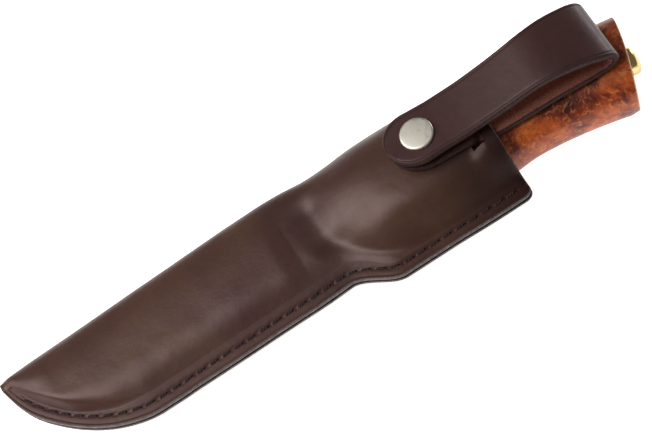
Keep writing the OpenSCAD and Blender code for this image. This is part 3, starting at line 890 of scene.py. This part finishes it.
def sheath_faces(rows, slit):
    """Vertices are numbered outer skin, inner skin, then the two cut edges."""
    skin = rows * RING_N
    faces = []
    for r in range(rows - 1):
        for i in range(RING_N - 1):
            if not slit[r, i]:
                a, b = r * RING_N + i, (r + 1) * RING_N + i
                faces.append((a, b, b + 1, a + 1))
                faces.append((skin + a, skin + a + 1, skin + b + 1, skin + b))
    # walls of the slit
    for r, i in np.argwhere(slit).tolist():
        a, b = r * RING_N + i, (r + 1) * RING_N + i
        for beyond, p, q in (
            (slit[r - 1, i], a, a + 1),
            (slit[r + 1, i], b + 1, b),
            (slit[r, i - 1], b, a),
            (slit[r, i + 1], a + 1, b + 1),
        ):
            if not beyond:
                faces.append((p, q, skin + q, skin + p))

    def edge_column(side, r):
        """Vertices down cut edge 0 (upper half) or 1 (lower half) at row r."""
        start = r * RING_N + side * (RING_N - 1)
        first = 2 * skin + (side * rows + r) * EDGE_ROWS
        return [start, *range(first, first + EDGE_ROWS), skin + start]

    for side in (0, 1):
        for r in range(rows - 1):
            a, b = edge_column(side, r), edge_column(side, r + 1)
            for q in range(EDGE_ROWS + 1):
                face = (a[q], a[q + 1], b[q + 1], b[q])
                faces.append(face[::-1] if side else face)
    # end faces: tip and mouth
    for r, at_mouth in ((0, False), (rows - 1, True)):
        for i in range(RING_N - 1):
            a = r * RING_N + i
            face = (a, a + 1, skin + a + 1, skin + a)
            faces.append(face[::-1] if at_mouth else face)
        for side in (0, 1):
            face = tuple(edge_column(side, r))
            faces.append(face if at_mouth ^ (side == 1) else face[::-1])
    return faces


def build_sheath():
    stations = np.unique(np.round(np.concatenate([
        tip_stations(0.3, 1.0 * np.arange(0, 91)),
        np.arange(-82, 40, 0.62),
        np.arange(40, 58, 0.8),
        np.arange(58.2, 64.6, 0.3),
        np.arange(64.9, MOUTH - 0.7, 0.6),
        MOUTH - MOUTH_ROUND * (1 - np.sin(np.radians([0, 22, 45, 68, 90]))),
    ]), 4))
    outer, inner = sheath_skins(stations)
    # distance in from the flange edge; far away off the flange
    slope = edge_slope(np.minimum(stations, MOUTH - 4))[:, None]
    distance = (outer[..., 1] - edge_y(stations)[:, None]) / slope
    distance = np.where(IN_FLANGE, distance, 99)
    tool_outside(outer, stations, distance)
    faces = sheath_faces(len(stations), slit_cells(stations, outer))
    verts = np.concatenate([
        outer.reshape(-1, 3), inner.reshape(-1, 3), cut_edge_points(outer, inner)
    ])

    skin = len(stations) * RING_N
    mouth_rim = 0.75 * np.repeat(stations > MOUTH - 0.35, RING_N)
    edge, inside, rim = np.zeros((3, len(verts)))
    worn = np.exp(-((np.maximum(distance, 0) / 0.30) ** 2)) * 0.85
    edge[:skin] = np.maximum(worn.ravel(), mouth_rim)
    edge[skin:2 * skin] = mouth_rim
    edge[2 * skin:] = 1
    inside[skin:2 * skin] = np.tile(~IN_FLANGE, len(stations))
    rim[:skin] = smooth((7.0 - distance) / 1.6).ravel()

    verts = press(verts)
    # keep the ground contact flat
    ground_z = world(verts)[:, 2]
    below = ground_z < 0
    rise = -ground_z[below] * 1000
    verts[below, 0] += rise * SIN_TILT
    verts[below, 2] += rise * COS_TILT
    attrs = {"edge": edge, "inner": inside, "rim": rim}
    return make("sheath_leather", verts, faces, attrs, sharp=42)


# ---------------------------------------------------------------------------
# Welt between the flange layers
# ---------------------------------------------------------------------------
def build_welt():
    stations = np.unique(np.round(np.concatenate([
        tip_stations(1.2, 1.5 * np.arange(1, 61)),
        np.arange(-82, MOUTH - 4, 0.8),
        np.arange(MOUTH - 4, MOUTH - 0.5, 0.3),
    ]), 4))
    jag = 0.10 * noise_along(stations, 1.7, 5) + 0.08 * noise_along(stations, 6, 6)
    y_out = edge_y(stations) + 0.80 + 1.6 * jag
    y_in = np.minimum(inset_y(stations, 5.6), fold_y(stations) - 4.9)
    y_in = np.maximum(y_in, y_out + 0.3)
    h = T_WELT / 2 - 0.012
    rings = []
    for x, a, b in zip(stations, y_out, y_in):
        rings.append([
            (x, b, -h), (x, b, h), (x, a + 0.12, h),
            (x, a, h * 0.45), (x, a - 0.02, -h * 0.2), (x, a + 0.10, -h),
        ])
    verts = press(np.array(rings).reshape(-1, 3))
    faces = [face[::-1] for face in loft_faces(len(rings), len(rings[0]))]
    return make("welt_leather", verts, faces, sharp=35)


# ---------------------------------------------------------------------------
# Thread: each run comes up out of a hole, lies on the leather and goes down again
# ---------------------------------------------------------------------------
def build_thread():
    seg, steps, flat = 10, 15, 0.82
    radius, depth, end_inset, lean = 0.37, 0.76, 0.62, 0.26
    rng = np.random.default_rng(23)
    verts, faces, twist = [], [], []
    for side in (1, -1):
        for hole_a, hole_b in zip(HOLES[:-1], HOLES[1:]):
            along = hole_b - hole_a
            length = float(np.hypot(*along))
            along = along / length
            across = np.array([-along[1], along[0]])
            jitter_a, jitter_b = rng.uniform(-0.18, 0.32, 2).tolist()
            skew = lean + rng.normal(0, 0.12)
            start = hole_a + along * (end_inset + jitter_a)
            end = hole_b - along * (end_inset + jitter_b)
            run = loft_faces(steps + 1, seg, base=len(verts))
            faces += [face[::-1] for face in run] if side == 1 else run
            for s in range(steps + 1):
                t = s / steps
                u = t * 2 - 1
                r = radius * (0.72 + 0.28 * (1 - abs(u) ** 4))
                centre = start * (1 - t) + end * t + across * skew * (t - 0.5)
                z = FLANGE_TOP - depth + 0.74 * (1 - abs(u) ** 5)
                slope = -5 * np.sign(u) * abs(u) ** 4 * 0.8 / (length / 2)
                normal = np.array([-slope, 1.0])
                normal /= np.hypot(*normal)
                for g in range(seg):
                    angle = 2 * math.pi * g / seg
                    rise = r * flat * math.sin(angle)
                    off = across * r * math.cos(angle) + along * (rise * normal[0])
                    x, y = centre + off
                    verts.append((x, y, side * (z + rise * normal[1])))
                    twist.append(t * length / 1.5 + g / seg * 2)
    return make("seam_thread", press(verts), faces, {"twist": twist}, 60)


# ---------------------------------------------------------------------------
# Strap: from a patch under the snap, out through the slit, over the handle,
# round a loop and back to the snap
# ---------------------------------------------------------------------------
def strap_y(x):
    """Centre line."""
    return SNAP_Y - 0.0456 * (x - SNAP_X)


def strap_half(x):
    """Half width of the lower layer."""
    return STRAP_HALF + 0.0256 * (x - SNAP_X)


def flap_half(x):
    """Half width of the upper layer, narrowest at x = 66."""
    flare = np.where(x > 66, 2.15 * ((x - 66) / 47) ** 2, 0.5 * ((66 - x) / 21) ** 2)
    return STRAP_HALF - 0.5 + flare


def tongue(x, tip_x, radius):
    """Share of the width left near a rounded end."""
    return np.sqrt(1 - clip01((tip_x + radius - x) / radius) ** 2)


PATCH_R = STRAP_HALF + 1.4
PATCH_X = SNAP_X - PATCH_R
PATCH_Z = float(top_h(59.0)) + 0.1
FLAP_R = STRAP_HALF + 1.6
FLAP_X = PATCH_X - 0.6
FLAP_Z = PATCH_Z + STRAP_T + 2.4  # underside of the flap at the snap
UNDER_MID = UNDER_Z + STRAP_T / 2
JOIN_X = 110.6  # where the lower layer and the loop meet

# Distances in from the strap's edge at which each face has points
INSETS = np.array([
    0.0, 0.06, 0.2, 0.42, 0.75, 1.05, 1.2, 1.35, 1.5, 1.75, 2.3, 3.2, 4.5, 6.2, 8.2,
])
SIDE_V = np.array([0.45, 0.0, -0.45])  # points down each edge, in half thicknesses
LINE_INSET = 1.28  # burnished line on the grain side


def there_and_back(half, middle=0.0, sign=1):
    """One face across the strap: edge to middle, then mirrored."""
    return np.concatenate([half, [middle], sign * half[::-1]])


# attributes round one section: flesh face, edge, grain face, edge
FACE_N = 2 * len(INSETS) + 1
FACE_EDGE = there_and_back(np.exp(-((INSETS / 0.32) ** 2)))
RING_EDGE = np.concatenate([FACE_EDGE, np.ones(3), FACE_EDGE, np.ones(3)])
RING_FLESH = np.concatenate([np.ones(FACE_N), np.zeros(FACE_N + 6)])
FACE_LINE = there_and_back(np.exp(-(((INSETS - LINE_INSET) / 0.25) ** 2)))
RING_LINE = np.concatenate([np.zeros(FACE_N + 3), FACE_LINE, np.zeros(3)])


def strap_ring(x, z, degrees, yc, half, arched):
    """One section; local v > 0 is the flesh side."""
    t = STRAP_T / 2

    def rounded(r):
        drop = r - np.sqrt(np.maximum(0, r * r - (r - INSETS) ** 2))
        return t - np.where(INSETS < r, drop, 0)

    flesh = rounded(0.30)
    grain = rounded(0.62) - 0.17 * np.exp(-(((INSETS - LINE_INSET) / 0.2) ** 2))
    width = np.maximum(half - INSETS, half * 0.02 * (1 - INSETS / 20))
    across = there_and_back(width, sign=-1)
    side = half + 0.07 * (1 - SIDE_V**2)
    u = np.concatenate([across, -side, -across, side])
    v = np.concatenate([
        there_and_back(flesh, t + 0.06), SIDE_V * t,
        there_and_back(-grain, -t), -SIDE_V * t,
    ])
    if arched:
        # the lower layer droops at its sides just past the slit
        droop = np.where(u < 0, 1.15, 2.0) * clip01(np.abs(u) / 11.0) ** 2
        v = v - droop * float(smooth((x - 58.5) / 4.5) * (1 - smooth((x - 70) / 26)))
    sa, ca = math.sin(math.radians(degrees)), math.cos(math.radians(degrees))
    return np.stack([x - v * sa, yc + u, z + v * ca], 1)


def build_strap(name, stations, arched=False):
    """stations: (x, z, direction in degrees, centre y, half width)"""
    rings = np.array([strap_ring(*station, arched) for station in stations])
    count = len(stations)
    edge = np.tile(RING_EDGE, count)
    verts = rings.reshape(-1, 3)
    verts[:, 1] += 0.10 * value_noise(verts, 9, 8) * (edge > 0.2)
    attrs = {"edge": edge, "flesh": np.tile(RING_FLESH, count), "line": np.tile(RING_LINE, count)}
    return make(name, verts, loft_faces(*rings.shape[:2]), attrs, 50)


def under_mid(x):
    """Mid-height of the lower layer, climbing through the slit."""
    return mix(PATCH_Z, UNDER_Z, smooth((x - 59.6) / 3.8)) + STRAP_T / 2


def lower_stations():
    stations = []
    for x in np.concatenate([
        PATCH_X + PATCH_R * (1 - np.cos(np.radians(np.linspace(6, 90, 26)))),
        np.arange(47.0, 58.8, 1.2),
        np.arange(59.0, 64.2, 0.25),
        np.arange(64.6, 110.0, 1.2),
        [JOIN_X],
    ]):
        rise = float(under_mid(x + 0.1)) - float(under_mid(x - 0.1))
        degrees = math.degrees(math.atan(rise / 0.2))
        half = float(strap_half(x) * tongue(x, PATCH_X, PATCH_R))
        stations.append((x, float(under_mid(x)), degrees, float(strap_y(x)), half))
    return stations


# Middle line (x, z) of the drop-shaped loop and of the flap down to the snap
LOOP_KNOTS = np.array([
    (112.2, 14.525), (115.3, 15.35), (117.15, 17.3), (117.45, 19.9), (116.0, 22.35),
    (113.0, 24.2), (109.0, 25.6), (104.0, 26.75), (97.5, 27.4), (91.0, 27.05),
    (84.5, 25.85), (77.5, 24.55), (70.0, 23.45), (62.0, 22.5), (53.3, 22.075),
])


def catmull(points, steps):
    """Catmull-Rom curve through the points, level at both ends."""
    before = points[0] - (points[1] - points[0]) * (1, 0)
    knots = np.vstack([[before], points, [points[-1] + (-6, 0)]])
    curve = []
    for p0, p1, p2, p3 in zip(knots, knots[1:], knots[2:], knots[3:]):
        for q in range(steps):
            t = q / steps
            square = (2 * p0 - 5 * p1 + 4 * p2 - p3) * t**2
            cube = (-p0 + 3 * p1 - 3 * p2 + p3) * t**3
            curve.append(0.5 * ((2 * p1) + (-p0 + p2) * t + square + cube))
    curve.append(knots[-2])
    return np.array(curve)


def loop_stations():
    path = np.vstack([[(JOIN_X, UNDER_MID)], [(111.4, UNDER_MID)], catmull(LOOP_KNOTS, 8)])
    tangent = np.gradient(path, axis=0)
    degrees = np.degrees(np.unwrap(np.arctan2(tangent[:, 1], tangent[:, 0])))
    degrees[:2] = 0
    stations = []
    for (x, z), angle in zip(path, degrees):
        x_fold = min(x, FOLD_X)
        half = float(flap_half(x))
        if x > 53.4:
            # from the lower layer's width to the flap's as the loop turns over
            wide = 0.2 + 0.6 * float(smooth((x - 84) / 20))
            turned = clip01(angle / 150)
            turning = float(mix(strap_half(x_fold), flap_half(x_fold) + wide, turned))
            half = mix(half, turning, float(smooth((x - 53) / 8)))
        stations.append((x, z, angle, float(strap_y(x_fold)), half))
    # level over the snap to the rounded end
    for x in np.concatenate([
        np.arange(52.2, SNAP_X + 3, -1.2),
        FLAP_X + FLAP_R * (1 - np.cos(np.radians(np.linspace(90, 6, 28)))),
    ]):
        half = float(flap_half(x) * tongue(x, FLAP_X, FLAP_R))
        stations.append((x, FLAP_Z + STRAP_T / 2, 180, float(strap_y(x)), half))
    return stations


def blend_loop(obj):
    """Bake the loop's placement into its mesh."""
    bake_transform(obj)


# ---------------------------------------------------------------------------
# Turned pieces
# ---------------------------------------------------------------------------
TANG_ANGLE = math.atan(TANG_SLOPE)
SEAT = BUTT_X / math.cos(TANG_ANGLE) + BUTT_DOME  # nut's seat, measured along the tang


def on_tang(along, aside):
    """(x, y) of a point set out from the origin along the sloping tang."""
    ca, sa = math.cos(TANG_ANGLE), math.sin(TANG_ANGLE)
    return along * ca - aside * sa, along * sa + aside * ca


def build_snap_cap():
    z = FLAP_Z + STRAP_T
    radius = CAP_D / 2
    profile = [
        (2.0, FLAP_Z + 0.2), (2.0, z), (radius - 0.45, z),
        (radius - 0.1, z + 0.08), (radius, z + 0.28), (radius, z + 0.5),
    ]
    for i in range(1, 9):
        a = math.radians(i * 11.25)
        profile.append((radius - 0.75 + 0.75 * math.cos(a), z + 0.5 + 0.62 * math.sin(a)))
    profile += [
        (radius - 1.2, z + 1.15), (radius - 2.2, z + 1.19),
        (radius * 0.3, z + 1.25), (0.02, z + 1.26),
    ]
    return lathe("snap_cap_top", profile, lambda a, b, h: (SNAP_X + a, SNAP_Y + b, h))


def build_nut():
    radius = NUT_D / 2
    profile = [(0.02, -1.0), (radius - 0.1, -1.0), (radius, -0.9), (radius, 0.95)]
    for i in range(1, 17):
        a = math.radians(i * 5.6)
        dome_r = max(0.02, radius * math.cos(a) ** 0.82)
        profile.append((dome_r, 0.95 + 2.25 * math.sin(a) ** 0.9))
    return lathe(
        "pommel_nut_dome", profile, lambda a, b, h: (*on_tang(SEAT + h + 0.5, a + 0.4), b), sharp=35
    )


# ---------------------------------------------------------------------------
# Handle, bolster and blade
# ---------------------------------------------------------------------------
def grip_high_y(x):
    line = 11.8 - 0.085 * (x - GRIP_X) + 1.2 * float(smooth((x - 90) / 28))
    return line - 2.1 * float(clip01((x - 98) / 26)) ** 1.5


def grip_low_y(x):
    return (
        -17.1
        - 2.6 * float(smooth((x - GRIP_X) / 14))
        - 6.2 * float(smooth((x - GRIP_X) / 52))
        + 0.75 * float(smooth((x - 62) / 18))
        - 6.7 * float(clip01((x - 79) / 38)) ** 1.6
    )


def grip_half_h(x):
    """Half thickness: full at the mouth of the sheath, slightly waisted past it."""
    full = GRIP_H - T_LEATHER - GRIP_GAP
    if x < MOUTH:
        return mix(7.2, full, float(smooth((x - GRIP_X + 8) / 56)) ** 0.8)
    waist = full - 0.7 * float(smooth((x - MOUTH) / 14))
    return waist + (BUTT_H - full + 0.7) * float(smooth((x - 84) / 34))


def grip_ring(x, cut=0.0, dx=0.0):
    """Section drawn in by cut, moved by dx and skewed more towards the butt."""
    high, low = grip_high_y(x), grip_low_y(x)
    p = oval(x, (high + low) / 2, (high - low) / 2 - cut, grip_half_h(x) - cut * 0.78, 2.35)
    y, z = p[:, 1] + 9, p[:, 2]
    skew = float(smooth((x - 40) / 60))
    push = 3.35 * float(smooth((x - 60) / 60))
    p[:, 0] += dx + skew * (0.25 * y + 0.1 * z - 0.003 * y**2 + push)
    return p


def build_handle():
    rings = [grip_ring(GRIP_X, 0.5), grip_ring(GRIP_X + 0.25)]
    rings += [grip_ring(x) for x in np.linspace(GRIP_X + 0.8, MOUTH, 70)[:-1]]
    rings += [grip_ring(x) for x in np.linspace(MOUTH, BUTT_X, 70)]
    # rounded corner of the butt, with a painted highlight along its middle, then the end face
    corner = len(rings)
    for a in np.radians(np.arange(10, 91, 8.0)):
        rings.append(grip_ring(BUTT_X, 0.7 * (1 - math.cos(a)), 0.6 * math.sin(a)))
    for k in np.linspace(0, 1, 10)[1:]:
        rings.append(grip_ring(BUTT_X, mix(0.7, 11.5, k), 0.6 + 0.35 * k))
    verts = np.concatenate(rings)
    rim = np.zeros((len(rings), len(rings[0])))
    highlight_band = np.array([0.15, 0.45, 0.8, 1, 1, 1, 1, 0.9, 0.7, 0.4, 0.2])
    rim[corner:corner + len(highlight_band)] = 0.75 * highlight_band[:, None]
    faces = loft_faces(*rim.shape)
    return make("handle_wood", verts, faces, {"rim": rim.ravel()}, 60)


def build_bolster():
    # (distance along x, how far the section is cut in)
    steps = ((0.0, 1.0), (0.12, 0.55), (0.35, 0.2), (0.7, 0.0), (3.0, 0.0), (4.99, 0.0))
    rings = [
        oval(BOLSTER_X + d, -2.4, 13.9 - cut + d * 0.1, 6.9 - cut + d * 0.14, 2.4)
        for d, cut in steps
    ]
    return make("bolster_brass", np.concatenate(rings), loft_faces(len(rings), len(rings[0])))


BLADE_TIP = BOLSTER_X - BLADE_LEN
BELLY_LEN = 46  # curved part of the cutting edge


def blade_ring(x):
    """Section from the spine down one side and back up the other."""
    top = SPINE_Y - 3 * float(clip01((BLADE_TIP + 40 - x) / 40)) ** 2
    belly = max(0.0, 1 - float(clip01((BLADE_TIP + BELLY_LEN - x) / BELLY_LEN)) ** 2.0) ** 0.5
    low = mix(top - 0.8, -14.2, belly)
    bevel = min(BEVEL, (top - low) * 0.6)
    half = BLADE_T / 2 * mix(0.35, 1, float(smooth((x - BLADE_TIP) / 12)))
    side = [
        (top - 0.25, half), ((top + low + bevel) / 2, half), (low + bevel, half),
        (low + bevel * 0.5, half * 0.52), (low, 0.06),
    ]
    side += [(y, -z) for y, z in side[::-1]]
    side += [(top, -half + 0.25), (top, half - 0.25)]
    return [(x, y, z) for y, z in side]


def build_blade():
    stations = np.concatenate([
        BLADE_TIP + BELLY_LEN * (1 - np.cos(np.radians(np.linspace(0, 90, 60)))),
        np.linspace(-64, BOLSTER_X - 0.02, 40),
    ])
    rings = np.array([blade_ring(x) for x in stations])
    verts = rings.reshape(-1, 3).tolist()
    faces = loft_faces(*rings.shape[:2])
    # flat tang, tapering to the butt: (x, half width)
    faces += loft_faces(3, 4, base=len(verts))
    for x, w in ((BOLSTER_X - 0.1, 6.1), (60, 4.9), (104, 3.2)):
        for y, z in ((w, 1.29), (-w, 1.29), (-w, -1.29), (w, -1.29)):
            verts.append((x, TANG_SLOPE * x + y, z))
    # round end of the tang, into the nut
    faces += loft_faces(2, 24, base=len(verts))
    for along in (102.0, SEAT + 1.8):
        for g in range(24):
            angle = 2 * math.pi * g / 24
            verts.append((*on_tang(along, 2.5 * math.cos(angle)), 2.5 * math.sin(angle)))
    return make("blade_ground", verts, faces, sharp=12)


# ---------------------------------------------------------------------------
# Pieces, in order
# ---------------------------------------------------------------------------
finish_piece(build_sheath(), LEATHER, "sheath", "sheath_leather", "sheath_shell")
finish_piece(build_welt(), WELT, "sheath", "welt_leather", "welt")
finish_piece(build_thread(), THREAD, "sheath", "thread", "seam_stitches")
strap_lower = build_strap("strap_lower", lower_stations(), arched=True)
finish_piece(strap_lower, STRAP, "sheath", "strap_leather", "strap_anchor")
strap_loop = build_strap("strap_loop", loop_stations())
blend_loop(strap_loop)
finish_piece(strap_loop, STRAP, None, "strap_leather", "strap_fold", "strap_flap")
finish_piece(build_snap_cap(), NICKEL, "flap", "nickel", "snap_cap")
finish_piece(build_nut(), BRASS, "knife", "brass", "pommel_nut")
finish_piece(build_handle(), WOOD, "knife", "curly_wood", "handle")
finish_piece(build_bolster(), BRASS, "knife", "brass", "bolster")
finish_piece(build_blade(), STEEL, "knife", "blade_steel", "blade")


# ---------------------------------------------------------------------------
# Floor, light, camera; in metres unless noted
# ---------------------------------------------------------------------------
def build_floor(half=6.0):
    mesh = bpy.data.meshes.new("floor")
    corners = [(-half, -half, 0), (half, -half, 0), (half, half, 0), (-half, half, 0)]
    mesh.from_pydata(corners, [], [(0, 1, 2, 3)])
    obj = bpy.data.objects.new("floor", mesh)
    bpy.context.scene.collection.objects.link(obj)
    obj.location.z = -0.0002
    material = bpy.data.materials.new("floor_white")
    material.use_nodes = True
    inputs = material.node_tree.nodes["Principled BSDF"].inputs
    inputs["Base Color"].default_value = (0.86, 0.86, 0.86, 1)
    inputs["Roughness"].default_value = 0.9
    inputs["Specular IOR Level"].default_value = 0.0
    inputs["Emission Color"].default_value = (1, 1, 1, 1)
    inputs["Emission Strength"].default_value = 0.95
    mesh.materials.append(material)


def build_world(ambient=0.17, seen=1.0):
    """A dim surround that the camera sees as white."""
    studio = bpy.data.worlds.new("studio")
    bpy.context.scene.world = studio
    studio.use_nodes = True
    tree = studio.node_tree
    color, strength = tree.nodes["Background"].inputs[:2]
    color.default_value = (1.0, 0.995, 0.985, 1)
    strength.default_value = ambient
    path = tree.nodes.new("ShaderNodeLightPath")
    switch = tree.nodes.new("ShaderNodeMapRange")
    switch.inputs["To Min"].default_value = ambient
    switch.inputs["To Max"].default_value = seen
    tree.links.new(path.outputs["Is Camera Ray"], switch.inputs["Value"])
    tree.links.new(switch.outputs["Result"], strength)


def area(name, loc, target, size, power):
    light = bpy.data.lights.new(name, "AREA")
    light.energy = power
    light.size = size
    obj = bpy.data.objects.new(name, light)
    bpy.context.scene.collection.objects.link(obj)
    obj.location = loc
    obj.rotation_mode = "QUATERNION"
    obj.rotation_quaternion = (Vector(target) - Vector(loc)).to_track_quat("-Z", "Y")
    obj.visible_camera = False


def build_camera():
    """Set out in the knife's frame, mm, and carried over to the scene."""
    pitch, roll = math.radians(60), math.radians(33.3)
    distance = 1100.0
    frame_width = 232.3728  # seen at the target
    target = np.array([3.0, 0, 0])
    view = np.array([0, math.cos(pitch), -math.sin(pitch)])
    level = np.array([1.0, 0, 0])
    upright = np.cross(level, view)
    right = level * math.cos(roll) - upright * math.sin(roll)
    up = level * math.sin(roll) + upright * math.cos(roll)
    data = bpy.data.cameras.new("camera")
    data.sensor_width = 36
    data.lens = distance * 36 / frame_width
    data.clip_start, data.clip_end = 0.05, 20
    camera = bpy.data.objects.new("camera", data)
    bpy.context.scene.collection.objects.link(camera)
    columns = (turn(right), turn(up), -turn(view), world(target - view * distance))
    camera.matrix_world = Matrix((*np.stack(columns, 1).tolist(), (0, 0, 0, 1)))
    bpy.context.scene.camera = camera


build_floor()
build_world()
area("key", loc=(-0.62, 0.15, 0.90), target=(-0.03, 0, 0), size=0.85, power=14.5)
area("left", loc=(-1.15, 0.35, 0.62), target=(-0.03, 0, 0.01), size=0.6, power=4.2)
area("rim", loc=(1.10, 0.62, 0.20), target=(0.08, 0, 0.03), size=0.5, power=5.0)
build_camera()
bpy.context.scene.view_settings.view_transform = "Standard"
bpy.context.scene.view_settings.look = "None"
